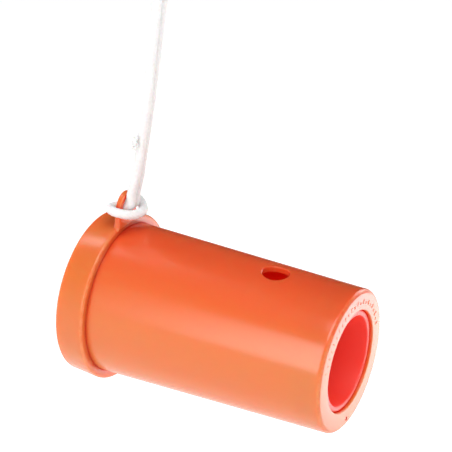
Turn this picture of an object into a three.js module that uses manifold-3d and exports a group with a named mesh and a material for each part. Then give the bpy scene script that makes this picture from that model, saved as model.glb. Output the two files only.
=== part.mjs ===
// A short, hand-held sounding tube with a wrist lanyard, blown by mouth through the hole in its side.
// Breath fills the ring-shaped chamber between the body and the horn tube and lifts the diaphragm off
// the horn tube's rear end; the sound leaves through the horn tube, at the mouth.
// Millimetres. +X runs along the tube towards its mouth and +Z up through the blow hole and the eye.
// The origin is where the lanyard's top loop hangs on whatever holds it.
import * as THREE from 'three';
import { mergeVertices } from 'three/addons/utils/BufferGeometryUtils.js';
import Module from 'manifold-3d';

const wasm = await Module();
wasm.setup();

// Driving dimensions
const OVERALL_LENGTH = 125.4;
const MOUTH_X = 95.0; // the mouth's face, from the origin along X
const AXIS_Z = -172.0; // the tube's axis, below the origin
const GAP = 0.3; // between pieces that touch
const ROUND_SIDES = 64;
const HOLE_SIDES = 32;

// Body tube
const MOUTH_RADIUS = 32.0;
const SPIGOT_RADIUS = 34.3; // the end that the cap covers
const BODY_WALL = 2.4;
const MOUTH_EDGE_FILLET = 2.0;
const FACE_THICKNESS = 3.0;
const COLLAR_BORE_RADIUS = 22.8;
const COLLAR_WALL = 2.2;
const COLLAR_DEPTH = 12.0;
const BORE_EDGE_FILLET = 0.6;
const BLOW_HOLE_RADIUS = 6.0;
const BLOW_HOLE_FROM_MOUTH = 37.6;
const DRAIN_HOLE_RADIUS = 1.0;
const DRAIN_HOLE_FROM_AXIS = 28.4;

// Horn tube
const HORN_RECESS = 1.2;
const HORN_RADIUS = COLLAR_BORE_RADIUS - GAP;
const HORN_WALL = 2.4;

// End cap
const CAP_BACK_RADIUS = 37.1;
const CAP_RIM_RADIUS = 38.15;
const CAP_LENGTH = 14.1;
const CAP_BORE_RADIUS = SPIGOT_RADIUS + 0.35;
const CAP_FLOOR = 2.4;
const CAP_EDGE_FILLET = 1.0;
const CAP_RIM_FILLET = 1.1;
const VENT_RADIUS = 2.5;
const VENT_CIRCLE_RADIUS = 18.0;
const VENT_COUNT = 6;

// Eye, a flat tab on top of the cap
const EYE_THICKNESS = 2.8;
const EYE_PROUD_OF_CAP = 0.6;
const EYE_TOP_RADIUS = 6.8;
const EYE_HOLE_RADIUS = 4.4;
const EYE_HOLE_ABOVE_AXIS = 45.3;
const EYE_ROOT_ABOVE_AXIS = 36.0;
const EYE_BEND_ABOVE_AXIS = 38.0; // where the root's flare turns into the neck
const EYE_ROOT_HALF_WIDTH = 9.2;
const EYE_NECK_HALF_WIDTH = 7.4;
const EYE_NECK_ABOVE_AXIS = 41.0;
const EYE_CURVE_STEPS = 16;

// The stack between the cap's floor and the body's rear end
const RING_INNER_RADIUS = 31.0;
const RING_OUTER_RADIUS = 34.2;
const CLAMP_RING_THICKNESS = 1.3;
const DIAPHRAGM_THICKNESS = 0.4;
const SEAL_THICKNESS = 1.4;

// Lanyard: one cord, doubled through the eye in a cow hitch
const CORD_RADIUS = 2.0;
const CORD_SIDES = 10;
const CORD_STEPS = 96;
const HITCH_STEPS = 30;
const KNOT_RADIUS = 1.7;
const KNOT_SIDES = 16;
const KNOT_RINGS = 12;
const KNOT_HALF_LENGTH = 3.7;
const KNOT_CENTRE = [-9.9, -6.0, -92.5];

// The long stretch: out of the eye's front, up, round the top loop and back down into the eye.
const CORD_ROUTE = [
  [-17.1, -2.15, -126.7],
  [-15.4, -2.15, -126.5],
  [-14.0, -2.15, -125.4],
  [-13.4, -2.15, -123.4],
  [-13.3, -2.15, -120.2],
  [-12.6, -2.15, -116.7],
  [-11.3, -2.15, -111.0],
  [-10.05, -2.1, -103.3],
  [-8.25, -2.1, -89.0],
  [-6.4, -2.1, -74.5],
  [-5.5, -2.1, -63.0],
  [-4.7, -2.15, -51.4],
  [-3.6, -2.3, -40.0],
  [-2.6, -2.75, -28.9],
  [-1.6, -5.0, -18.5],
  [-0.7, -7.5, -8.3],
  [-0.2, -6.0, -0.6],
  [0, 0, 2.0],
  [-0.2, 6.0, -0.6],
  [-0.7, 7.5, -8.3],
  [-1.6, 5.0, -18.5],
  [-2.6, 2.75, -28.9],
  [-3.6, 2.3, -40.0],
  [-4.6, 2.2, -51.4],
  [-5.8, 2.2, -63.0],
  [-7.0, 2.2, -74.5],
  [-8.8, 2.25, -89.0],
  [-10.6, 2.25, -103.3],
  [-11.5, 2.2, -111.0],
  [-12.6, 2.15, -116.7],
  [-13.3, 2.15, -120.2],
  [-13.4, 2.15, -123.4],
  [-14.0, 2.15, -125.4],
  [-15.4, 2.15, -126.5],
  [-17.1, 2.15, -126.7],
];

// The hitch: out of the eye's back, round one side, across the front and back round the other side.
const HITCH_ROUTE = [
  [-17.45, -2.15, -126.7],
  [-19.3, -2.3, -126.8],
  [-20.6, -3.6, -126.6],
  [-21.1, -5.6, -126.4],
  [-20.4, -7.8, -126.2],
  [-18.6, -8.9, -126.2],
  [-16.6, -9.2, -126.3],
  [-14.2, -8.5, -126.6],
  [-12.1, -6.6, -127.3],
  [-10.5, -3.9, -127.9],
  [-9.7, -0.5, -128.1],
  [-10.1, 3.2, -128.4],
  [-12.0, 6.4, -128.4],
  [-14.4, 8.6, -127.5],
  [-17.1, 9.2, -126.3],
  [-19.0, 8.8, -125.9],
  [-20.4, 7.7, -125.8],
  [-21.1, 5.6, -126.1],
  [-20.6, 3.6, -126.5],
  [-19.3, 2.3, -126.8],
  [-17.45, 2.15, -126.7],
];

function plastic(colour, roughness) {
  return new THREE.MeshStandardMaterial({ color: colour, roughness, metalness: 0 });
}

const orangePlastic = plastic('#ef6a35', 0.35);
const innerPlastic = plastic('#e0412f', 0.4);
const diaphragmFilm = plastic('#d9d2c4', 0.3);
const sealRubber = plastic('#2a2a2c', 0.75);
const cordFibre = plastic('#f7f7f4', 0.85);

function namedMesh(name, geometry, material) {
  const mesh = new THREE.Mesh(geometry, material);
  mesh.name = name;
  return mesh;
}

// A piece turned about the tube's axis, from [x, radius] corners given anticlockwise.
function turned(corners) {
  const profile = corners.map(([x, radius]) => new THREE.Vector2(radius, x)).reverse();
  const geometry = new THREE.LatheGeometry(profile, ROUND_SIDES);
  return geometry.rotateZ(-Math.PI / 2);
}

function turnedRing(corners) {
  return turned([...corners, corners[0]]);
}

// Corners along a rounded edge, from one angle to another in degrees, 0 along +X and 90 outwards.
function roundedEdge(centreX, centreRadius, fillet, fromDegrees, toDegrees, steps = 3) {
  const corners = [];
  for (let step = 0; step <= steps; step += 1) {
    const angle = THREE.MathUtils.degToRad(fromDegrees + ((toDegrees - fromDegrees) * step) / steps);
    corners.push([centreX + fillet * Math.cos(angle), centreRadius + fillet * Math.sin(angle)]);
  }
  return corners;
}

function toSolid(geometry) {
  const bare = geometry.clone();
  bare.deleteAttribute('normal');
  bare.deleteAttribute('uv');
  const merged = mergeVertices(bare, 1e-4);
  return new wasm.Manifold(
    new wasm.Mesh({
      numProp: 3,
      vertProperties: new Float32Array(merged.attributes.position.array),
      triVerts: new Uint32Array(merged.index.array),
    }),
  );
}

function toGeometry(solid) {
  const mesh = solid.getMesh();
  const geometry = new THREE.BufferGeometry();
  geometry.setAttribute('position', new THREE.BufferAttribute(mesh.vertProperties, 3));
  geometry.setIndex(new THREE.BufferAttribute(mesh.triVerts, 1));
  geometry.computeVertexNormals();
  return geometry;
}

// A round cutter of the given radius and length, centred on a point.
function drill(radius, length, direction, centre) {
  const geometry = new THREE.CylinderGeometry(radius, radius, length, HOLE_SIDES);
  const turn = new THREE.Quaternion().setFromUnitVectors(new THREE.Vector3(0, 1, 0), direction);
  return toSolid(geometry.applyQuaternion(turn).translate(...centre));
}

const ALONG = new THREE.Vector3(1, 0, 0);
const UP = new THREE.Vector3(0, 0, 1);

// The tube's own frame has its origin at the centre of the mouth's face.
const CAP_BACK_X = -OVERALL_LENGTH;
const CAP_FRONT_X = CAP_BACK_X + CAP_LENGTH;
const EYE_FRONT_X = CAP_FRONT_X + EYE_PROUD_OF_CAP;
const CLAMP_RING_X = CAP_BACK_X + CAP_FLOOR + GAP;
const DIAPHRAGM_X = CLAMP_RING_X + CLAMP_RING_THICKNESS + GAP;
const SEAL_X = DIAPHRAGM_X + DIAPHRAGM_THICKNESS + GAP;
const BODY_REAR_X = SEAL_X + SEAL_THICKNESS + GAP;
const HORN_REAR_X = DIAPHRAGM_X + DIAPHRAGM_THICKNESS + GAP;

function bodyTube() {
  const shell = toSolid(turnedRing([
    [BODY_REAR_X, SPIGOT_RADIUS - BODY_WALL],
    [-FACE_THICKNESS, MOUTH_RADIUS - BODY_WALL],
    [-FACE_THICKNESS, COLLAR_BORE_RADIUS + COLLAR_WALL],
    [-COLLAR_DEPTH, COLLAR_BORE_RADIUS + COLLAR_WALL],
    [-COLLAR_DEPTH, COLLAR_BORE_RADIUS],
    ...roundedEdge(-BORE_EDGE_FILLET, COLLAR_BORE_RADIUS + BORE_EDGE_FILLET, BORE_EDGE_FILLET, -90, 0),
    ...roundedEdge(-MOUTH_EDGE_FILLET, MOUTH_RADIUS - MOUTH_EDGE_FILLET, MOUTH_EDGE_FILLET, 0, 90),
    [CAP_FRONT_X, SPIGOT_RADIUS],
    [BODY_REAR_X, SPIGOT_RADIUS],
  ]));
  const blowHole = drill(BLOW_HOLE_RADIUS, 4 * BODY_WALL, UP, [-BLOW_HOLE_FROM_MOUTH, 0, MOUTH_RADIUS]);
  const drainHole = drill(DRAIN_HOLE_RADIUS, 4 * FACE_THICKNESS, ALONG, [0, 0, -DRAIN_HOLE_FROM_AXIS]);
  return toGeometry(shell.subtract(blowHole).subtract(drainHole));
}

function hornTube() {
  return turnedRing([
    [HORN_REAR_X, HORN_RADIUS - HORN_WALL],
    [-HORN_RECESS, HORN_RADIUS - HORN_WALL],
    [-HORN_RECESS, HORN_RADIUS],
    [HORN_REAR_X, HORN_RADIUS],
  ]);
}

function eyeTab() {
  const outline = new THREE.Shape();
  outline.moveTo(-EYE_ROOT_HALF_WIDTH, EYE_ROOT_ABOVE_AXIS);
  outline.lineTo(EYE_ROOT_HALF_WIDTH, EYE_ROOT_ABOVE_AXIS);
  outline.quadraticCurveTo(EYE_NECK_HALF_WIDTH, EYE_BEND_ABOVE_AXIS, EYE_NECK_HALF_WIDTH, EYE_NECK_ABOVE_AXIS);
  outline.lineTo(EYE_TOP_RADIUS, EYE_HOLE_ABOVE_AXIS);
  outline.absarc(0, EYE_HOLE_ABOVE_AXIS, EYE_TOP_RADIUS, 0, Math.PI, false);
  outline.lineTo(-EYE_NECK_HALF_WIDTH, EYE_NECK_ABOVE_AXIS);
  outline.quadraticCurveTo(
    -EYE_NECK_HALF_WIDTH, EYE_BEND_ABOVE_AXIS, -EYE_ROOT_HALF_WIDTH, EYE_ROOT_ABOVE_AXIS,
  );
  const tab = new THREE.ExtrudeGeometry(outline, {
    depth: EYE_THICKNESS,
    bevelEnabled: false,
    curveSegments: EYE_CURVE_STEPS,
  });
  // The outline's own X becomes Y and its Y becomes Z, so the tab's thickness runs along +X.
  const stand = new THREE.Matrix4().makeBasis(new THREE.Vector3(0, 1, 0), UP, ALONG);
  return toSolid(tab.applyMatrix4(stand).translate(EYE_FRONT_X - EYE_THICKNESS, 0, 0));
}

function endCap() {
  const cup = toSolid(turned([
    [CAP_BACK_X + CAP_FLOOR, 0],
    [CAP_BACK_X + CAP_FLOOR, CAP_BORE_RADIUS],
    [CAP_FRONT_X, CAP_BORE_RADIUS],
    ...roundedEdge(CAP_FRONT_X - CAP_RIM_FILLET, CAP_RIM_RADIUS - CAP_RIM_FILLET, CAP_RIM_FILLET, 0, 90),
    ...roundedEdge(
      CAP_BACK_X + CAP_EDGE_FILLET, CAP_BACK_RADIUS - CAP_EDGE_FILLET, CAP_EDGE_FILLET, 90, 180,
    ),
    [CAP_BACK_X, 0],
  ]));
  const eyeHole = drill(EYE_HOLE_RADIUS, 4 * EYE_THICKNESS, ALONG, [EYE_FRONT_X, 0, EYE_HOLE_ABOVE_AXIS]);
  let cap = cup.add(eyeTab()).subtract(eyeHole);
  for (let vent = 0; vent < VENT_COUNT; vent += 1) {
    const angle = (vent * 2 * Math.PI) / VENT_COUNT;
    const centre = [CAP_BACK_X, VENT_CIRCLE_RADIUS * Math.sin(angle), VENT_CIRCLE_RADIUS * Math.cos(angle)];
    cap = cap.subtract(drill(VENT_RADIUS, 4 * CAP_FLOOR, ALONG, centre));
  }
  return toGeometry(cap);
}

function flatRing(rearX, thickness) {
  return turnedRing([
    [rearX, RING_INNER_RADIUS],
    [rearX + thickness, RING_INNER_RADIUS],
    [rearX + thickness, RING_OUTER_RADIUS],
    [rearX, RING_OUTER_RADIUS],
  ]);
}

function diaphragm() {
  return turned([
    [DIAPHRAGM_X + DIAPHRAGM_THICKNESS, 0],
    [DIAPHRAGM_X + DIAPHRAGM_THICKNESS, RING_OUTER_RADIUS],
    [DIAPHRAGM_X, RING_OUTER_RADIUS],
    [DIAPHRAGM_X, 0],
  ]);
}

function cord(route, steps) {
  const section = new THREE.Shape();
  for (let side = 0; side < CORD_SIDES; side += 1) {
    const angle = (side * 2 * Math.PI) / CORD_SIDES;
    const corner = [CORD_RADIUS * Math.cos(angle), CORD_RADIUS * Math.sin(angle)];
    if (side === 0) section.moveTo(...corner);
    else section.lineTo(...corner);
  }
  const path = new THREE.CatmullRomCurve3(route.map((point) => new THREE.Vector3(...point)));
  return new THREE.ExtrudeGeometry(section, { steps, bevelEnabled: false, extrudePath: path });
}

const tube = new THREE.Group();
tube.position.set(MOUTH_X, 0, AXIS_Z);
tube.add(
  namedMesh('body_tube', bodyTube(), orangePlastic),
  namedMesh('horn_tube', hornTube(), innerPlastic),
  namedMesh('end_cap', endCap(), orangePlastic),
  namedMesh('clamp_ring', flatRing(CLAMP_RING_X, CLAMP_RING_THICKNESS), innerPlastic),
  namedMesh('diaphragm', diaphragm(), diaphragmFilm),
  namedMesh('seal_ring', flatRing(SEAL_X, SEAL_THICKNESS), sealRubber),
);

const knot = namedMesh('lanyard_knot', new THREE.SphereGeometry(KNOT_RADIUS, KNOT_SIDES, KNOT_RINGS), cordFibre);
knot.geometry.rotateX(Math.PI / 2);
knot.scale.set(1, 1, KNOT_HALF_LENGTH / KNOT_RADIUS);
knot.position.set(...KNOT_CENTRE);

const lanyard = new THREE.Group();
lanyard.add(
  namedMesh('lanyard_cord', cord(CORD_ROUTE, CORD_STEPS), cordFibre),
  namedMesh('lanyard_hitch', cord(HITCH_ROUTE, HITCH_STEPS), cordFibre),
  knot,
);

const assembly = new THREE.Group();
assembly.add(tube, lanyard);

export default assembly;
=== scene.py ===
import contextlib
import math

import bmesh
import bpy
import numpy as np
from mathutils import Matrix, Vector


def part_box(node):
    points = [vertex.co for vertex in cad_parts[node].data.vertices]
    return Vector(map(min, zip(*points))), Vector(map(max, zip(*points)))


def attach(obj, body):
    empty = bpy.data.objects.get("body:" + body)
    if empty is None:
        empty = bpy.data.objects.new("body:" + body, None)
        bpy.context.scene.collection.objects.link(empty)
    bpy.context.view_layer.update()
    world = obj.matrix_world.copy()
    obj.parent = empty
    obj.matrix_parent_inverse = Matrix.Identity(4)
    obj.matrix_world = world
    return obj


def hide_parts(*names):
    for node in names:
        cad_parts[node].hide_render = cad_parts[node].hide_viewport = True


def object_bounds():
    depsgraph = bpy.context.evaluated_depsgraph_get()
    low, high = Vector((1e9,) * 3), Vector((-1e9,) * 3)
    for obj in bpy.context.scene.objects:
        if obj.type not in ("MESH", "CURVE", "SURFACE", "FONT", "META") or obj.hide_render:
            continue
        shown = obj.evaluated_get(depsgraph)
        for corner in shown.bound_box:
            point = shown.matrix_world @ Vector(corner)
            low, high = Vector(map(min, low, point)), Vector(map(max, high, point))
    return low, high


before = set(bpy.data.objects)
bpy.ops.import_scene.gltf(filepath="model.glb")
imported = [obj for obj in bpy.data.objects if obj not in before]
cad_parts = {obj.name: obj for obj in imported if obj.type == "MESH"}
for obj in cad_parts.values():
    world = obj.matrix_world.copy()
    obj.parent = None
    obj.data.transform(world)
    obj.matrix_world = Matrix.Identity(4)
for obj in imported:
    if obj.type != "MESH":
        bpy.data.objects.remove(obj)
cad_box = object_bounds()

MM = 0.001

# Places that the frame gives, in metres
body_low, body_high = (Vector(corner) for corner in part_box("body_tube"))
cap_low, cap_high = (Vector(corner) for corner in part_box("end_cap"))
horn_low, horn_high = (Vector(corner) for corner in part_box("horn_tube"))
MOUTH_X = body_high.x
BODY_REAR_X = body_low.x
CAP_BACK_X = cap_low.x
AXIS_Z = (body_low.z + body_high.z) / 2
SPIGOT_RADIUS = (body_high.y - body_low.y) / 2
CAP_RIM_RADIUS = (cap_high.y - cap_low.y) / 2
EYE_TOP_Z = cap_high.z
HORN_RADIUS = (horn_high.y - horn_low.y) / 2

# Sizes of the moulded pieces, as in the CAD model
MOUTH_RADIUS = 32.0 * MM
BODY_WALL = 2.4 * MM
MOUTH_EDGE_FILLET = 2.0 * MM
FACE_THICKNESS = 3.0 * MM
COLLAR_BORE_RADIUS = 22.8 * MM
COLLAR_WALL = 2.2 * MM
COLLAR_DEPTH = 12.0 * MM
BORE_EDGE_FILLET = 0.6 * MM
BLOW_HOLE_RADIUS = 6.0 * MM
BLOW_HOLE_X = MOUTH_X - 37.6 * MM
DRAIN_HOLE_RADIUS = 1.0 * MM
DRAIN_HOLE_BELOW_AXIS = 28.4 * MM
HORN_WALL = 2.4 * MM
CAP_BACK_RADIUS = 37.1 * MM
CAP_FRONT_X = CAP_BACK_X + 14.1 * MM
CAP_BORE_RADIUS = SPIGOT_RADIUS + 0.35 * MM
CAP_FLOOR = 2.4 * MM
CAP_BACK_FILLET = 1.0 * MM
CAP_RIM_FILLET = 1.1 * MM
VENT_RADIUS = 2.5 * MM
VENT_CIRCLE_RADIUS = 18.0 * MM
VENT_COUNT = 6
EYE_THICKNESS = 2.8 * MM
EYE_FRONT_X = CAP_FRONT_X + 0.6 * MM
EYE_TOP_RADIUS = 6.8 * MM
EYE_HOLE_RADIUS = 4.4 * MM
EYE_CENTRE_Z = EYE_TOP_Z - EYE_TOP_RADIUS
EYE_ROOT_Z = AXIS_Z + 36.0 * MM
EYE_BEND_Z = EYE_ROOT_Z + 2.0 * MM
EYE_NECK_Z = AXIS_Z + 41.0 * MM
EYE_ROOT_HALF = 9.2 * MM
EYE_NECK_HALF = 7.4 * MM
CORD_RADIUS = 2.0 * MM

# Finer details, which only the visual model has. The lip closes the cap's sliding gap where it shows.
BLOW_HOLE_FILLET = 0.5 * MM
HORN_END_FILLET = 0.6 * MM
CAP_LIP_ROUND = 0.2 * MM
CAP_LIP_RADIUS = SPIGOT_RADIUS + 0.06 * MM
CAP_LIP_DEPTH = 1.5 * MM
EYE_EDGE_ROUND = 0.7 * MM

# How finely the meshes are divided
ROUND_SEGMENTS = 256
BLOW_HOLE_SEGMENTS = 96
FILLET_STEPS = 6
BODY_BAND = 4 * MM
CAP_BAND = 3 * MM
CREASE_ANGLE = math.radians(40)
SLIVER = 0.001 * MM

# The lanyard's route, in millimetres, as in the CAD model. It is one cord: out of the eye's front, up,
# round the top loop, down into the eye again, then round the eye's neck in a cow hitch and back to where
# it began.
CORD_ROUTE = [
    (-17.1, -2.15, -126.7), (-15.4, -2.15, -126.5), (-14.0, -2.15, -125.4), (-13.4, -2.15, -123.4),
    (-13.3, -2.15, -120.2), (-12.6, -2.15, -116.7), (-11.3, -2.15, -111.0), (-10.05, -2.1, -103.3),
    (-8.25, -2.1, -89.0), (-6.4, -2.1, -74.5), (-5.5, -2.1, -63.0), (-4.7, -2.15, -51.4),
    (-3.6, -2.3, -40.0), (-2.6, -2.75, -28.9), (-1.6, -5.0, -18.5), (-0.7, -7.5, -8.3),
    (-0.2, -6.0, -0.6), (0, 0, 2.0), (-0.2, 6.0, -0.6), (-0.7, 7.5, -8.3),
    (-1.6, 5.0, -18.5), (-2.6, 2.75, -28.9), (-3.6, 2.3, -40.0), (-4.6, 2.2, -51.4),
    (-5.8, 2.2, -63.0), (-7.0, 2.2, -74.5), (-8.8, 2.25, -89.0), (-10.6, 2.25, -103.3),
    (-11.5, 2.2, -111.0), (-12.6, 2.15, -116.7), (-13.3, 2.15, -120.2), (-13.4, 2.15, -123.4),
    (-14.0, 2.15, -125.4), (-15.4, 2.15, -126.5), (-17.1, 2.15, -126.7),
]
HITCH_ROUTE = [
    (-17.45, -2.15, -126.7), (-19.3, -2.3, -126.8), (-20.6, -3.6, -126.6), (-21.1, -5.6, -126.4),
    (-20.4, -7.8, -126.2), (-18.6, -8.9, -126.2), (-16.6, -9.2, -126.3), (-14.2, -8.5, -126.6),
    (-12.1, -6.6, -127.3), (-10.5, -3.9, -127.9), (-9.7, -0.5, -128.1), (-10.1, 3.2, -128.4),
    (-12.0, 6.4, -128.4), (-14.4, 8.6, -127.5), (-17.1, 9.2, -126.3), (-19.0, 8.8, -125.9),
    (-20.4, 7.7, -125.8), (-21.1, 5.6, -126.1), (-20.6, 3.6, -126.5), (-19.3, 2.3, -126.8),
    (-17.45, 2.15, -126.7),
]

scene = bpy.context.scene


# --- Camera ------------------------------------------------------------------------------------

VIEW_TARGET = Vector((34.2, -3.2, -122.0)) * MM
VIEW_AZIMUTH = 26.6
VIEW_ELEVATION = 26.0
VIEW_ROLL = math.radians(2.54)
VIEW_DISTANCE = 0.8
LENS_MM = 149.3
SENSOR_MM = 36.0


def direction(azimuth, elevation):
    """A unit vector away from the tube. The azimuth runs from -Y towards +X. Both are in degrees."""
    turn, rise = math.radians(azimuth), math.radians(elevation)
    return Vector((math.sin(turn) * math.cos(rise), -math.cos(turn) * math.cos(rise), math.sin(rise)))


def add_camera():
    """The camera, fitted to the photo's view."""
    data = bpy.data.cameras.new("camera")
    data.lens = LENS_MM
    data.sensor_width = SENSOR_MM
    data.clip_end = 50.0
    camera = bpy.data.objects.new("camera", data)
    scene.collection.objects.link(camera)
    back = direction(VIEW_AZIMUTH, VIEW_ELEVATION)
    turn = back.to_track_quat("Z", "Y").to_matrix().to_4x4()
    roll = Matrix.Rotation(VIEW_ROLL, 4, "Z")
    camera.matrix_world = Matrix.Translation(VIEW_TARGET + back * VIEW_DISTANCE) @ turn @ roll
    scene.camera = camera


add_camera()


# --- Mesh helpers --------------------------------------------------------------------------------


def new_object(name, mesh, material):
    piece = bpy.data.objects.new(name, mesh)
    scene.collection.objects.link(piece)
    piece.data.materials.append(material)
    return piece


def mesh_from(name, vertices, faces):
    mesh = bpy.data.meshes.new(name)
    mesh.from_pydata([tuple(v) for v in vertices], [], faces)
    mesh.validate()
    mesh.update()
    return mesh


@contextlib.contextmanager
def editing(mesh):
    """Opens a mesh for editing and writes it back afterwards."""
    bm = bmesh.new()
    bm.from_mesh(mesh)
    yield bm
    bm.to_mesh(mesh)
    bm.free()


def smooth_but_crisp(mesh):
    """Smooth shading that keeps edges sharper than the crease angle."""
    mesh.shade_smooth()
    mesh.set_sharp_from_angle(angle=CREASE_ANGLE)


def band(first, second, around):
    """Faces between two rings of corners, from the number of each ring's first corner."""
    steps = [(step, (step + 1) % around) for step in range(around)]
    return [(first + step, first + after, second + after, second + step) for step, after in steps]


def tube_faces(rings, around, closed=False):
    """Faces of a tube through rings of corners, with flat ends unless the last ring meets the first."""
    faces = []
    for ring in range(rings if closed else rings - 1):
        faces += band(ring * around, (ring + 1) % rings * around, around)
    if not closed:
        faces.append(tuple(range(around - 1, -1, -1)))
        faces.append(tuple(range((rings - 1) * around, rings * around)))
    return faces


def arc(centre_x, centre_radius, fillet, start, stop, steps=FILLET_STEPS):
    """Corners along a rounded edge, from one angle to another in degrees, 0 along +X, 90 outwards."""
    angles = np.radians(np.linspace(start, stop, steps + 1))
    return [(centre_x + fillet * math.cos(a), centre_radius + fillet * math.sin(a)) for a in angles]


def turned_mesh(name, corners, closed=True):
    """A closed mesh turned about the tube's axis, from (x, radius) corners. A profile that isn't closed
    on itself starts and ends on the axis."""
    segments = ROUND_SEGMENTS
    vertices, rings = [], []
    for x, radius in corners:
        if radius < 1e-9:
            rings.append([len(vertices)])
            vertices.append((x, 0.0, AXIS_Z))
            continue
        ring = []
        for step in range(segments):
            angle = 2 * math.pi * step / segments
            ring.append(len(vertices))
            vertices.append((x, radius * math.sin(angle), AXIS_Z + radius * math.cos(angle)))
        rings.append(ring)
    faces = []
    pairs = list(zip(rings, rings[1:])) + ([(rings[-1], rings[0])] if closed else [])
    for first, second in pairs:
        around = [(step, (step + 1) % segments) for step in range(segments)]
        if len(first) == 1:
            faces += [(first[0], second[after], second[step]) for step, after in around]
        elif len(second) == 1:
            faces += [(first[step], first[after], second[0]) for step, after in around]
        else:
            faces += band(first[0], second[0], segments)
    mesh = mesh_from(name, vertices, faces)
    with editing(mesh) as bm:
        bmesh.ops.recalc_face_normals(bm, faces=bm.faces)
    return mesh


def spread(corners, longest):
    """The same outline with extra corners, so that no stretch is longer than that."""
    full = [corners[0]]
    for start, end in zip(corners, corners[1:]):
        pieces = max(1, math.ceil(math.dist(start, end) / longest))
        for k in range(1, pieces + 1):
            t = k / pieces
            full.append((start[0] + (end[0] - start[0]) * t, start[1] + (end[1] - start[1]) * t))
    return full


def apply_modifiers(piece):
    """Makes the piece's modifiers part of its mesh, and clears away the slivers that they leave."""
    graph = bpy.context.evaluated_depsgraph_get()
    mesh = bpy.data.meshes.new_from_object(piece.evaluated_get(graph))
    with editing(mesh) as bm:
        bmesh.ops.remove_doubles(bm, verts=bm.verts, dist=SLIVER)
        bmesh.ops.dissolve_degenerate(bm, edges=bm.edges, dist=SLIVER)
    old = piece.data
    piece.modifiers.clear()
    piece.data = mesh
    bpy.data.meshes.remove(old)


def combine(piece, others, operation):
    """Cuts the other objects from the piece, or joins them to it, and removes them."""
    for other in others:
        modifier = piece.modifiers.new("boolean", "BOOLEAN")
        modifier.operation = operation
        modifier.solver = "EXACT"
        modifier.object = other
    apply_modifiers(piece)
    for other in others:
        bpy.data.objects.remove(other)


# --- Materials -----------------------------------------------------------------------------------


class Nodes:
    """A short way to write a material's node tree."""

    def __init__(self, name):
        self.material = bpy.data.materials.new(name)
        self.material.use_nodes = True
        self.tree = self.material.node_tree
        self.shader = self.tree.nodes["Principled BSDF"]
        self.place = self.tree.nodes.new("ShaderNodeTexCoord").outputs["Object"]

    def add(self, kind, **settings):
        node = self.tree.nodes.new(kind)
        for key, value in settings.items():
            if hasattr(node, key):
                setattr(node, key, value)
            else:
                node.inputs[key.replace("_", " ")].default_value = value
        return node

    def link(self, output, target):
        self.tree.links.new(output, target)

    def set(self, **values):
        for key, value in values.items():
            self.shader.inputs[key.replace("_", " ")].default_value = value

    def noise(self, scale, detail=2.0, roughness=0.5):
        """Noise from 0 to 1, its scale in waves a metre."""
        node = self.add("ShaderNodeTexNoise", Scale=scale, Detail=detail, Roughness=roughness)
        self.link(self.place, node.inputs["Vector"])
        return node.outputs["Fac"]

    def scaled_noise(self, scales, detail=2.0):
        """Noise from 0 to 1, with a scale for each of X, Y and Z."""
        mapping = self.add("ShaderNodeMapping")
        mapping.inputs["Scale"].default_value = scales
        self.link(self.place, mapping.inputs["Vector"])
        node = self.add("ShaderNodeTexNoise", Scale=1.0, Detail=detail)
        self.link(mapping.outputs["Vector"], node.inputs["Vector"])
        return node.outputs["Fac"]

    def ramp(self, value, low, high, at_low=0.0, at_high=1.0):
        """A straight slope between two values, flat beyond them."""
        node = self.add("ShaderNodeMapRange")
        node.inputs["From Min"].default_value = low
        node.inputs["From Max"].default_value = high
        node.inputs["To Min"].default_value = at_low
        node.inputs["To Max"].default_value = at_high
        self.link(value, node.inputs["Value"])
        return node.outputs["Result"]

    def mix(self, factor, first, second):
        node = self.add("ShaderNodeMix")
        node.data_type = "RGBA"
        self.link(factor, node.inputs["Factor"])
        for value, socket in ((first, node.inputs["A"]), (second, node.inputs["B"])):
            if hasattr(value, "is_linked"):
                self.link(value, socket)
            else:
                socket.default_value = (*value, 1.0)
        return node.outputs["Result"]

    def mottle(self, scale, detail, first, second):
        """Lets the base colour wander between two shades."""
        shade = self.ramp(self.noise(scale, detail), 0.3, 0.7)
        self.link(self.mix(shade, first, second), self.shader.inputs["Base Color"])

    def bump(self, height, distance, strength, onto=None):
        node = self.add("ShaderNodeBump", Strength=strength, Distance=distance)
        self.link(height, node.inputs["Height"])
        if onto is not None:
            self.link(onto, node.inputs["Normal"])
        return node.outputs["Normal"]

    def maths(self, operation, first, second=None):
        node = self.add("ShaderNodeMath", operation=operation)
        for value, socket in ((first, node.inputs[0]), (second, node.inputs[1])):
            if hasattr(value, "is_linked"):
                self.link(value, socket)
            elif value is not None:
                socket.default_value = value
        return node.outputs["Value"]

    def distance(self, first, second):
        """The length across two lengths at right angles."""
        squares = self.maths("MULTIPLY", first, first), self.maths("MULTIPLY", second, second)
        return self.maths("SQRT", self.maths("ADD", *squares))

    def coordinates(self):
        """The place along the tube, across it and up."""
        node = self.add("ShaderNodeSeparateXYZ")
        self.link(self.place, node.inputs["Vector"])
        return node.outputs["X"], node.outputs["Y"], node.outputs["Z"]

    def near(self, value, place, reach):
        """1 where the value is close to the place, falling to 0 at the reach either side."""
        away = self.maths("ABSOLUTE", self.maths("SUBTRACT", value, place))
        return self.ramp(away, 0.3 * reach, reach, 1.0, 0.0)


# The outer corners that handling rubs and where a highlight is painted, as places along the axis and radii
WORN_AND_HIGHLIT_CORNERS = (
    (MOUTH_X - 0.6 * MM, MOUTH_RADIUS - 0.6 * MM),
    (CAP_FRONT_X - 0.3 * MM, CAP_RIM_RADIUS - 0.3 * MM),
    (CAP_BACK_X + 0.3 * MM, CAP_BACK_RADIUS - 0.3 * MM),
)
WEAR_AND_HIGHLIGHT_REACH = 1.0 * MM
WEAR_AND_HIGHLIGHT_PATCH_SCALE = 260
WEAR_AND_HIGHLIGHT_STRENGTH = 0.5
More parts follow.
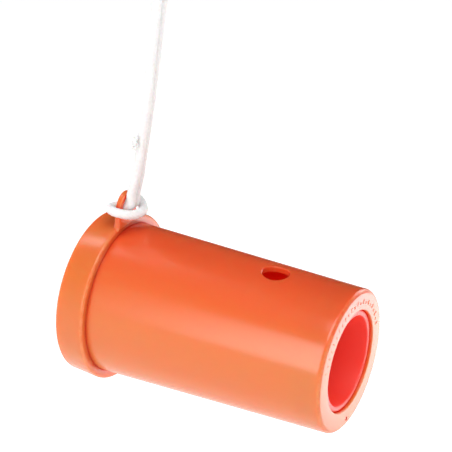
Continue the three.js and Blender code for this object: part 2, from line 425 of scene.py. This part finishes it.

# How far the colour goes from its own shade to the deep one: by flow marks, and by painted shade that grows
# with height above the axis and is weaker on the cap; then the reach of the painted shade in corners
FLOW_SCALES = (9, 32, 32)
FLOW_SHARE = 0.4
TOP_SHADE_START = 6 * MM
TOP_SHADE_END = 34 * MM
TOP_SHADE_SHARE = 0.7
CAP_TOP_SHADE_SHARE = 0.25
CORNER_SHADE_REACH = 5 * MM

# Light scattered inside the plastic, and the fine relief of its skin
SCATTER = 0.6
SCATTER_DEPTH = 15 * MM
SCATTER_COLOUR = (1.0, 0.12, 0.05)
HANDLING_SCALE = 38
HANDLING_ROUGHNESS = 0.03
GRAIN_SCALE = 1500
GRAIN_DEPTH = 0.03 * MM
SINK_SCALES = (18, 55, 55)
SINK_DEPTH = 0.35 * MM


def rim_wear_and_highlight(n, radius, along):
    """How near the surface is to the tube's outer corners, where handling pales the plastic and a highlight
    is painted.
    """
    total = None
    for x, corner_radius in WORN_AND_HIGHLIT_CORNERS:
        lengthwise, outwards = n.near(along, x, WEAR_AND_HIGHLIGHT_REACH), n.near(radius, corner_radius, WEAR_AND_HIGHLIGHT_REACH)
        corner = n.maths("MULTIPLY", lengthwise, outwards)
        total = corner if total is None else n.maths("MAXIMUM", total, corner)
    patches = n.ramp(n.noise(WEAR_AND_HIGHLIGHT_PATCH_SCALE, 4.0, 0.65), 0.42, 0.62, 0.15, 1.0)
    return n.maths("MULTIPLY", total, patches)


def plastic(name, colour, deep_tone_and_top_shade, shaded, pale, roughness, glow):
    """Satin, slightly translucent moulded plastic. Its colour flows a little, and painted shade deepens it
    towards the top and more so in corners and holes. The rims are paler, partly rubbed by handling and partly
    a painted highlight.
    The glow is painted light that stands for the daylight that comes through the walls onto an inner piece."""
    n = Nodes(name)
    along, across, up = n.coordinates()
    offset = n.maths("SUBTRACT", up, AXIS_Z)
    radius = n.distance(across, offset)
    flow = n.ramp(n.scaled_noise(FLOW_SCALES, 1.0), 0.0, 1.0, 0.0, FLOW_SHARE)
    # Painted shade: the colour goes towards the deep red with height above the axis, and less so on the cap.
    height = n.ramp(offset, TOP_SHADE_START, TOP_SHADE_END, 0.0, TOP_SHADE_SHARE)
    on_body = n.ramp(radius, SPIGOT_RADIUS, CAP_LIP_RADIUS + 0.5 * MM, 1.0, CAP_TOP_SHADE_SHARE)
    base = n.mix(n.maths("ADD", flow, n.maths("MULTIPLY", height, on_body)), colour, deep_tone_and_top_shade)
    # Painted shade: where ambient occlusion finds corners, holes and gaps, the colour turns to the shaded
    # red.
    corner = n.add("ShaderNodeAmbientOcclusion", samples=8, Distance=CORNER_SHADE_REACH).outputs["AO"]
    base = n.mix(n.ramp(corner, 0.35, 0.8, 1.0, 0.0), base, shaded)
    # Partly wear and partly painted highlight: the rims turn paler.
    base = n.mix(n.maths("MULTIPLY", rim_wear_and_highlight(n, radius, along), WEAR_AND_HIGHLIGHT_STRENGTH), base, pale)
    n.link(base, n.shader.inputs["Base Color"])
    smooth, dull = roughness - HANDLING_ROUGHNESS, roughness + HANDLING_ROUGHNESS
    n.link(n.ramp(n.noise(HANDLING_SCALE, 1.5), 0.0, 1.0, smooth, dull), n.shader.inputs["Roughness"])
    skin = n.bump(n.noise(GRAIN_SCALE), GRAIN_DEPTH, 0.3)
    skin = n.bump(n.scaled_noise(SINK_SCALES, 1.0), SINK_DEPTH, 0.2, onto=skin)
    n.link(skin, n.shader.inputs["Normal"])
    n.set(Subsurface_Weight=SCATTER, Subsurface_Scale=SCATTER_DEPTH, Subsurface_Radius=SCATTER_COLOUR)
    # The emission is painted light: a glow in the deep red.
    n.set(IOR=1.5, Specular_IOR_Level=0.5, Emission_Color=(*deep_tone_and_top_shade, 1.0), Emission_Strength=glow)
    return n.material


def cord_fibre():
    """Soft white braided cord: fine fibre fuzz over the braid that the mesh carries."""
    n = Nodes("white_cord")
    n.mottle(700, 3.0, (0.77, 0.77, 0.76), (0.86, 0.86, 0.855))
    fibres = n.bump(n.scaled_noise((2600, 2600, 700)), 0.1 * MM, 0.5)
    n.link(fibres, n.shader.inputs["Normal"])
    n.set(Roughness=0.85, Sheen_Weight=0.35, Sheen_Roughness=0.5, Specular_IOR_Level=0.25)
    n.set(Subsurface_Weight=0.15, Subsurface_Scale=1.5 * MM)
    return n.material


def rubber():
    """Matt black rubber with a slight grain."""
    n = Nodes("seal_rubber")
    n.mottle(300, 3.0, (0.018, 0.018, 0.02), (0.04, 0.04, 0.042))
    n.link(n.bump(n.noise(1200, 3.0), 0.1 * MM, 0.4), n.shader.inputs["Normal"])
    n.set(Roughness=0.7, Specular_IOR_Level=0.4)
    return n.material


def film():
    """Smooth, milky film that isn't quite flat."""
    n = Nodes("diaphragm_film")
    n.mottle(90, 3.0, (0.62, 0.57, 0.47), (0.72, 0.68, 0.6))
    n.link(n.bump(n.noise(160), 0.3 * MM, 0.15), n.shader.inputs["Normal"])
    n.set(Roughness=0.32, Specular_IOR_Level=0.5, Subsurface_Weight=0.2, Subsurface_Scale=1 * MM)
    return n.material


orange_plastic = plastic(
    "orange_plastic", colour=(0.78, 0.205, 0.046), deep_tone_and_top_shade=(0.88, 0.09, 0.026), shaded=(0.84, 0.045, 0.016),
    pale=(0.9, 0.3, 0.12), roughness=0.23, glow=0.0,
)
# The inner pieces get a deeper red copy of the orange plastic, painted shade for the tube's inside, and a
# glow that is painted light.
inner_plastic = plastic(
    "inner_plastic", colour=(0.74, 0.055, 0.038), deep_tone_and_top_shade=(0.73, 0.05, 0.036), shaded=(0.72, 0.045, 0.033),
    pale=(0.8, 0.16, 0.1), roughness=0.42, glow=0.3,
)
white_cord = cord_fibre()
seal_rubber = rubber()
diaphragm_film = film()


# --- Lanyard -------------------------------------------------------------------------------------

BRAID_STRANDS = 8
BRAID_RELIEF = 0.24 * MM
BRAID_RADIUS_LEVEL = 0.65  # the height in the braid that lies on the cord's radius
BRAID_LENGTHENING = 1.3  # how much longer than wide a strand's diamond is
BRAID_STEP = 0.35 * MM
BRAID_AROUND = 48
STRAND_FLATNESS = 0.7
CURVE_STEPS = 24


def curve_through(route):
    """A centripetal Catmull-Rom curve through the points, in metres."""
    points = [np.array(p, float) * MM for p in route]
    first, last = 2 * points[0] - points[1], 2 * points[-1] - points[-2]
    points = [first, *points, last]
    line = []
    for a, b, c, d in zip(points, points[1:], points[2:], points[3:]):
        knots = [0.0]
        for start, end in ((a, b), (b, c), (c, d)):
            knots.append(knots[-1] + max(np.linalg.norm(end - start), 1e-9) ** 0.5)
        t0, t1, t2, t3 = knots
        for t in np.linspace(t1, t2, CURVE_STEPS, endpoint=False):
            a1 = a * (t1 - t) / (t1 - t0) + b * (t - t0) / (t1 - t0)
            a2 = b * (t2 - t) / (t2 - t1) + c * (t - t1) / (t2 - t1)
            a3 = c * (t3 - t) / (t3 - t2) + d * (t - t2) / (t3 - t2)
            b1 = a1 * (t2 - t) / (t2 - t0) + a2 * (t - t0) / (t2 - t0)
            b2 = a2 * (t3 - t) / (t3 - t1) + a3 * (t - t1) / (t3 - t1)
            line.append(b1 * (t2 - t) / (t2 - t1) + b2 * (t - t1) / (t2 - t1))
    line.append(points[-2])
    return np.array(line)


def evenly(line, step):
    """The same line with evenly spaced points, and how far along it each point is."""
    lengths = np.concatenate([[0.0], np.cumsum(np.linalg.norm(np.diff(line, axis=0), axis=1))])
    count = max(2, int(round(lengths[-1] / step)))
    at = np.linspace(0, lengths[-1], count + 1)
    return np.stack([np.interp(at, lengths, line[:, k]) for k in range(3)], axis=1), at


def braid_height(turn, along, pitch):
    """The braid's relief, 0 to 1, where turn is 0 to 1 round the cord."""
    u = turn * BRAID_STRANDS + along / pitch
    v = turn * BRAID_STRANDS - along / pitch
    crossing = np.cos(math.pi * u) * np.cos(math.pi * v)
    over = np.abs(np.cos(math.pi * u)) ** STRAND_FLATNESS * (0.6 + 0.4 * crossing)
    under = np.abs(np.cos(math.pi * v)) ** STRAND_FLATNESS * (0.6 - 0.4 * crossing)
    return np.maximum(over, under)


def directions_across(centre, closed):
    """Two directions across the line at each of its points, carried along it without twisting."""
    ahead = np.roll(centre, -1, axis=0) - np.roll(centre, 1, axis=0)
    if not closed:
        ahead[0], ahead[-1] = centre[1] - centre[0], centre[-1] - centre[-2]
    ahead /= np.linalg.norm(ahead, axis=1)[:, None]
    side = np.cross(ahead[0], (0.0, 0.0, 1.0) if abs(ahead[0][2]) < 0.9 else (1.0, 0.0, 0.0))
    sides = []
    for direction in ahead:
        side = side - direction * side.dot(direction)
        side = side / np.linalg.norm(side)
        sides.append(side)
    sides = np.array(sides)
    return sides, np.cross(ahead, sides)


def braided_tube(name, line, radius, relief=BRAID_RELIEF, around=BRAID_AROUND, closed=False):
    """A mesh tube along the line whose surface carries the braid."""
    centre, along = evenly(line, BRAID_STEP)
    if closed:
        centre, along = centre[:-1], along[:-1]
    sides, ups = directions_across(centre, closed)
    turns = np.arange(around) / around
    pitch = 2 * math.pi * radius / BRAID_STRANDS * BRAID_LENGTHENING
    height = braid_height(turns[None, :], along[:, None], pitch)
    reach = radius + relief * (height - BRAID_RADIUS_LEVEL)
    angles = 2 * math.pi * turns
    rings = (
        centre[:, None, :]
        + (reach * np.cos(angles)[None, :])[:, :, None] * sides[:, None, :]
        + (reach * np.sin(angles)[None, :])[:, :, None] * ups[:, None, :]
    )
    mesh = mesh_from(name, rings.reshape(-1, 3), tube_faces(len(centre), around, closed))
    mesh.shade_smooth()
    return mesh


lanyard_line = curve_through(CORD_ROUTE + HITCH_ROUTE[::-1])
lanyard = new_object("lanyard", braided_tube("lanyard", lanyard_line, CORD_RADIUS), white_cord)
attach(lanyard, "cap")
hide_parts("lanyard_cord", "lanyard_hitch")

knot_low, knot_high = (Vector(corner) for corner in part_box("lanyard_knot"))
KNOT_CENTRE = (knot_low + knot_high) / 2
KNOT_HALF = (knot_high - knot_low) / 2
KNOT_CORD_RADIUS = 0.8 * MM
KNOT_BRAID_RELIEF = 0.12 * MM
KNOT_AROUND = 32
KNOT_STEPS = 240
KNOT_FLATTENING = 0.8


def knot_line():
    """An overhand knot pulled tight: a flattened trefoil, stood on end beside the cord."""
    t = np.linspace(0, 2 * math.pi, KNOT_STEPS + 1)
    across = (np.sin(t) + 2 * np.sin(2 * t)) / 3
    length = (np.cos(t) - 2 * np.cos(2 * t)) / 3
    depth = -np.sin(3 * t)
    inset = np.array(KNOT_HALF) - KNOT_CORD_RADIUS
    offsets = [depth * inset[0] * KNOT_FLATTENING, across * inset[1], length * inset[2]]
    return np.array(KNOT_CENTRE) + np.stack(offsets, axis=1)


knot_mesh = braided_tube("knot", knot_line(), KNOT_CORD_RADIUS, KNOT_BRAID_RELIEF, KNOT_AROUND, closed=True)
knot = new_object("knot", knot_mesh, white_cord)
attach(knot, "cap")
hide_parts("lanyard_knot")


# --- Moulded pieces ------------------------------------------------------------------------------


def body_radius_at(x):
    """The body's outer radius: a straight taper from the mouth to the cap's front, then a straight spigot."""
    start = MOUTH_X - MOUTH_EDGE_FILLET
    share = min(1.0, max(0.0, (start - x) / (start - CAP_FRONT_X)))
    return MOUTH_RADIUS + (SPIGOT_RADIUS - MOUTH_RADIUS) * share


CUTTER_BELOW_SKIN = 8 * MM
CUTTER_ABOVE_SKIN = 4 * MM


def blow_hole_cutter():
    """A round cutter whose top flares out along the body's curved skin, to leave a rounded edge."""
    around, flare = BLOW_HOLE_SEGMENTS, BLOW_HOLE_FILLET
    rings = [(BLOW_HOLE_RADIUS, -CUTTER_BELOW_SKIN), (BLOW_HOLE_RADIUS, -flare)]
    for step in range(1, FILLET_STEPS + 1):
        angle = math.radians(90 * step / FILLET_STEPS)
        rings.append((BLOW_HOLE_RADIUS + flare * (1 - math.cos(angle)), -flare + flare * math.sin(angle)))
    rings.append((BLOW_HOLE_RADIUS + flare, CUTTER_ABOVE_SKIN))
    vertices = []
    for radius, height in rings:
        for step in range(around):
            angle = 2 * math.pi * step / around
            x = BLOW_HOLE_X + radius * math.cos(angle)
            y = radius * math.sin(angle)
            skin = math.sqrt(body_radius_at(x) ** 2 - y**2)
            vertices.append((x, y, AXIS_Z + skin + height))
    mesh = mesh_from("blow_hole_cutter", vertices, tube_faces(len(rings), around))
    return new_object("blow_hole_cutter", mesh, orange_plastic)


def round_cutter(name, radius, length, centre, around=64):
    """A cylinder along X, about its centre."""
    mesh = bpy.data.meshes.new(name)
    along_x = Vector((1, 0, 0)).to_track_quat("Z", "Y").to_matrix().to_4x4()
    with editing(mesh) as bm:
        bmesh.ops.create_cone(
            bm, cap_ends=True, segments=around, radius1=radius, radius2=radius, depth=length,
            matrix=Matrix.Translation(centre) @ along_x,
        )
    return new_object(name, mesh, orange_plastic)


MARK_COUNT = 23
MARK_SPREAD = math.radians(150)
MARK_INNER_RADIUS = 25.6 * MM
MARK_LENGTH = 2.2 * MM
MARK_WIDTH = 0.8 * MM
MARK_HEIGHT = 0.2 * MM
MARK_ROOT = 1.0 * MM
MARK_SLOPE = 0.25 * MARK_WIDTH
SHORT_MARK = 0.6


def ring_marks():
    """Small raised bars, spread over the upper part of the ring around the mouth. Every other bar is short.
    Each is rooted in the ring and narrows to its top."""
    layers = ((MOUTH_X - MARK_ROOT, 0.0), (MOUTH_X, 0.0), (MOUTH_X + MARK_HEIGHT, MARK_SLOPE))
    vertices, faces = [], []
    for mark in range(MARK_COUNT):
        angle = MARK_SPREAD * (mark / (MARK_COUNT - 1) - 0.5)
        outward = np.array((math.sin(angle), math.cos(angle)))
        sideways = np.array((outward[1], -outward[0]))
        length = MARK_LENGTH * (SHORT_MARK if mark % 2 else 1.0)
        for x, inset in layers:
            near, far = MARK_INNER_RADIUS + inset, MARK_INNER_RADIUS + length - inset
            half = MARK_WIDTH / 2 - inset
            for radius, side in ((near, -half), (far, -half), (far, half), (near, half)):
                y, z = outward * radius + sideways * side
                vertices.append((x, y, AXIS_Z + z))
        base = 12 * mark
        faces.append((base, base + 1, base + 2, base + 3))
        faces.append((base + 11, base + 10, base + 9, base + 8))
        for layer in (base, base + 4):
            for side in range(4):
                after = (side + 1) % 4
                faces.append((layer + side, layer + 4 + side, layer + 4 + after, layer + after))
    mesh = mesh_from("ring_marks", vertices, faces)
    with editing(mesh) as bm:
        bmesh.ops.recalc_face_normals(bm, faces=bm.faces)
    return new_object("ring_marks", mesh, orange_plastic)


def make_body():
    """The tapered tube with its mouth ring, the collar behind it and the two holes."""
    inner_mouth = MOUTH_RADIUS - BODY_WALL
    face_x = MOUTH_X - FACE_THICKNESS
    collar_radius = COLLAR_BORE_RADIUS + COLLAR_WALL
    skin = spread([(MOUTH_X - MOUTH_EDGE_FILLET, MOUTH_RADIUS), (CAP_FRONT_X, SPIGOT_RADIUS)], BODY_BAND)
    outline = [
        (BODY_REAR_X, SPIGOT_RADIUS - BODY_WALL),
        (face_x, inner_mouth),
        (face_x, collar_radius),
        (MOUTH_X - COLLAR_DEPTH, collar_radius),
        (MOUTH_X - COLLAR_DEPTH, COLLAR_BORE_RADIUS),
        *arc(MOUTH_X - BORE_EDGE_FILLET, COLLAR_BORE_RADIUS + BORE_EDGE_FILLET, BORE_EDGE_FILLET, -90, 0),
        *arc(MOUTH_X - MOUTH_EDGE_FILLET, MOUTH_RADIUS - MOUTH_EDGE_FILLET, MOUTH_EDGE_FILLET, 0, 90)[:-1],
        *skin,
        (BODY_REAR_X, SPIGOT_RADIUS),
    ]
    body = new_object("body_shell", turned_mesh("body_shell", outline), orange_plastic)
    drain = round_cutter(
        "drain_cutter", DRAIN_HOLE_RADIUS, 4 * FACE_THICKNESS,
        (MOUTH_X, 0, AXIS_Z - DRAIN_HOLE_BELOW_AXIS), around=32,
    )
    combine(body, [blow_hole_cutter(), drain], "DIFFERENCE")
    combine(body, [ring_marks()], "UNION")
    smooth_but_crisp(body.data)
    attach(body, "tube")
    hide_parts("body_tube")


def make_horn():
    """The inner tube, with its front end rounded."""
    bore = HORN_RADIUS - HORN_WALL
    front, rear = horn_high.x, horn_low.x
    outline = [
        (rear, bore),
        *arc(front - HORN_END_FILLET, bore + HORN_END_FILLET, HORN_END_FILLET, -90, 0),
        *arc(front - HORN_END_FILLET, HORN_RADIUS - HORN_END_FILLET, HORN_END_FILLET, 0, 90),
        (rear, HORN_RADIUS),
    ]
    horn = new_object("horn", turned_mesh("horn", outline), inner_plastic)
    smooth_but_crisp(horn.data)
    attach(horn, "tube")
    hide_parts("horn_tube")


def eye_circle(radius, angles):
    """(y, z) corners about the eye's centre."""
    return [(radius * math.cos(a), EYE_CENTRE_Z + radius * math.sin(a)) for a in angles]


def eye_outline():
    """The eye tab's outline as (y, z) corners, anticlockwise from its right foot."""
    foot = []
    for t in np.linspace(0, 1, 9):
        y = (1 - t) ** 2 * EYE_ROOT_HALF + (1 - (1 - t) ** 2) * EYE_NECK_HALF
        z = (1 - t) ** 2 * EYE_ROOT_Z + 2 * t * (1 - t) * EYE_BEND_Z + t**2 * EYE_NECK_Z
        foot.append((y, z))
    top = eye_circle(EYE_TOP_RADIUS, np.linspace(0, math.pi, 49))
    return [*foot, *top, *[(-y, z) for y, z in reversed(foot)]]


def rounded_plate(name, outline, hole, thickness, edge, front_x):
    """A flat plate with a round hole and rounded edges, standing across X with its front at front_x."""
    curve = bpy.data.curves.new(name, "CURVE")
    curve.dimensions = "2D"
    curve.fill_mode = "BOTH"
    curve.extrude = thickness / 2 - edge
    curve.bevel_depth = edge
    curve.bevel_resolution = 4
    curve.offset = -edge
    for corners in (outline, hole):
        spline = curve.splines.new("POLY")
        spline.points.add(len(corners) - 1)
        for point, (y, z) in zip(spline.points, corners):
            point.co = (y, z, 0, 1)
        spline.use_cyclic_u = True
    plate = bpy.data.objects.new(name, curve)
    scene.collection.objects.link(plate)
    graph = bpy.context.evaluated_depsgraph_get()
    mesh = bpy.data.meshes.new_from_object(plate.evaluated_get(graph))
    bpy.data.objects.remove(plate)
    stand = Matrix(((0, 0, 1, front_x - thickness / 2), (1, 0, 0, 0), (0, 1, 0, 0), (0, 0, 0, 1)))
    mesh.transform(stand)
    with editing(mesh) as bm:
        bmesh.ops.remove_doubles(bm, verts=bm.verts, dist=SLIVER)
        bmesh.ops.recalc_face_normals(bm, faces=bm.faces)
    return mesh


def make_eye():
    """The tab that the lanyard goes through."""
    hole = eye_circle(EYE_HOLE_RADIUS, np.linspace(0, 2 * math.pi, 64, endpoint=False))
    plate = rounded_plate("eye", eye_outline(), hole, EYE_THICKNESS, EYE_EDGE_ROUND, EYE_FRONT_X)
    return new_object("eye", plate, orange_plastic)


def vent_cutters():
    """Cutters for the ring of round holes through the cap's back."""
    cutters = []
    for vent in range(VENT_COUNT):
        angle = vent * 2 * math.pi / VENT_COUNT
        y, z = VENT_CIRCLE_RADIUS * math.sin(angle), AXIS_Z + VENT_CIRCLE_RADIUS * math.cos(angle)
        cutters.append(round_cutter("vent_cutter", VENT_RADIUS, 4 * CAP_FLOOR, (CAP_BACK_X, y, z)))
    return cutters


def make_cap():
    """The flanged cap with its lip, eye and vents."""
    skirt = spread(
        [(CAP_FRONT_X - CAP_RIM_FILLET, CAP_RIM_RADIUS), (CAP_BACK_X + CAP_BACK_FILLET, CAP_BACK_RADIUS)],
        CAP_BAND,
    )
    lip, rim = CAP_LIP_ROUND, CAP_RIM_FILLET
    outline = [
        (CAP_BACK_X + CAP_FLOOR, 0.0),
        (CAP_BACK_X + CAP_FLOOR, CAP_BORE_RADIUS),
        (CAP_FRONT_X - CAP_LIP_DEPTH, CAP_BORE_RADIUS),
        (CAP_FRONT_X - CAP_LIP_DEPTH, CAP_LIP_RADIUS),
        *arc(CAP_FRONT_X - lip, CAP_LIP_RADIUS + lip, lip, -90, 0, steps=3),
        *arc(CAP_FRONT_X - rim, CAP_RIM_RADIUS - rim, rim, 0, 90)[:-1],
        *skirt,
        *arc(CAP_BACK_X + CAP_BACK_FILLET, CAP_BACK_RADIUS - CAP_BACK_FILLET, CAP_BACK_FILLET, 90, 180)[1:],
        (CAP_BACK_X, 0.0),
    ]
    cap = new_object("cap_shell", turned_mesh("cap_shell", outline, closed=False), orange_plastic)
    combine(cap, [make_eye()], "UNION")
    combine(cap, vent_cutters(), "DIFFERENCE")
    smooth_but_crisp(cap.data)
    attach(cap, "cap")
    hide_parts("end_cap")


make_body()
make_horn()
make_cap()

# The pieces inside keep the shapes that the frame gives them
INSIDE_FINISHES = {"clamp_ring": inner_plastic, "diaphragm": diaphragm_film, "seal_ring": seal_rubber}
for node, finish in INSIDE_FINISHES.items():
    for material_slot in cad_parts[node].material_slots:
        material_slot.material = finish


# --- Studio --------------------------------------------------------------------------------------

TUBE_CENTRE = Vector((0.03, 0.0, AXIS_Z))
FLOOR_Z = cad_box[0][2] - 0.16
FLOOR_HALF = 6.0
FLOOR_GLOW = 0.93
BRIGHT_GLOW = 3.9
BRIGHT_PLACE = (0.42, 0.4)
BRIGHT_REACH = 0.36
# The surround's strength, and the heights of the direction looked in (-1 down, 1 up) that it changes between
SURROUND = {"From Min": 0.08, "From Max": 0.45, "To Min": 0.7, "To Max": 0.1}


def add_floor():
    """A white, lit floor, with a brighter patch behind the tube's mouth."""
    n = Nodes("floor")
    right, back, _ = n.coordinates()
    aside = n.maths("SUBTRACT", right, BRIGHT_PLACE[0])
    beyond = n.maths("SUBTRACT", back, BRIGHT_PLACE[1])
    n.mottle(3, 2.0, (0.34, 0.34, 0.34), (0.36, 0.36, 0.36))
    away = n.distance(aside, beyond)
    glow = n.ramp(away, 0.4 * BRIGHT_REACH, BRIGHT_REACH, BRIGHT_GLOW, FLOOR_GLOW)
    n.link(glow, n.shader.inputs["Emission Strength"])
    n.set(Emission_Color=(1.0, 1.0, 1.0, 1.0), Roughness=0.9, Specular_IOR_Level=0.1)
    signs = ((-1, -1), (1, -1), (1, 1), (-1, 1))
    corners = [(x * FLOOR_HALF, y * FLOOR_HALF, FLOOR_Z) for x, y in signs]
    new_object("floor", mesh_from("floor", corners, [(0, 1, 2, 3)]), n.material)


def add_softbox(name, azimuth, elevation, distance, size, power):
    """A rectangular softbox facing the tube. Its power is in watts."""
    away = direction(azimuth, elevation)
    data = bpy.data.lights.new(name, "AREA")
    data.shape = "RECTANGLE"
    data.size, data.size_y = size
    data.energy = power
    light = bpy.data.objects.new(name, data)
    scene.collection.objects.link(light)
    light.location = TUBE_CENTRE + away * distance
    light.rotation_euler = away.to_track_quat("Z", "Y").to_euler()
    light.visible_camera = False


def add_flag(azimuth, distance, size, bottom):
    """A dark upright card that the camera doesn't see, so that nothing pale shines in the tube's top."""
    width, height = size
    away = direction(azimuth, 0)
    across = Vector((away.y, -away.x, 0)) * width / 2
    foot = Vector((TUBE_CENTRE.x, TUBE_CENTRE.y, bottom)) + away * distance
    rise = Vector((0, 0, height))
    corners = [foot - across, foot + across, foot + across + rise, foot - across + rise]
    n = Nodes("flag")
    n.link(n.mix(n.noise(4), (0.03, 0.03, 0.03), (0.035, 0.035, 0.035)), n.shader.inputs["Base Color"])
    n.set(Roughness=0.95, Specular_IOR_Level=0.0)
    flag = new_object("flag", mesh_from("flag", corners, [(0, 1, 2, 3)]), n.material)
    flag.visible_camera = False


def add_world():
    """A white surround, bright at eye level and below, and dim overhead."""
    world = bpy.data.worlds.new("studio")
    scene.world = world
    world.use_nodes = True
    tree = world.node_tree
    place = tree.nodes.new("ShaderNodeTexCoord")
    split = tree.nodes.new("ShaderNodeSeparateXYZ")
    tree.links.new(place.outputs["Generated"], split.inputs["Vector"])
    fall = tree.nodes.new("ShaderNodeMapRange")
    for name, value in SURROUND.items():
        fall.inputs[name].default_value = value
    tree.links.new(split.outputs["Z"], fall.inputs["Value"])
    background = tree.nodes["Background"]
    background.inputs["Color"].default_value = (1.0, 1.0, 1.0, 1.0)
    tree.links.new(fall.outputs["Result"], background.inputs["Strength"])


add_floor()
add_world()
add_softbox("key", azimuth=-11.5, elevation=22, distance=1.0, size=(0.32, 0.74), power=3.9)
add_softbox("side", azimuth=-98, elevation=55, distance=0.8, size=(0.16, 0.16), power=0.5)
add_softbox("top", azimuth=35, elevation=68, distance=1.0, size=(0.6, 0.6), power=6.9)
add_softbox("front", azimuth=75, elevation=14, distance=1.0, size=(0.5, 0.5), power=0.4)
add_softbox("left", azimuth=-95, elevation=4, distance=1.0, size=(0.5, 0.5), power=1.6)
add_softbox("rear", azimuth=165, elevation=15, distance=1.0, size=(0.5, 0.5), power=2.2)
add_flag(azimuth=-151, distance=0.6, size=(0.7, 0.85), bottom=FLOOR_Z + 0.06)
scene.view_settings.view_transform = "Standard"
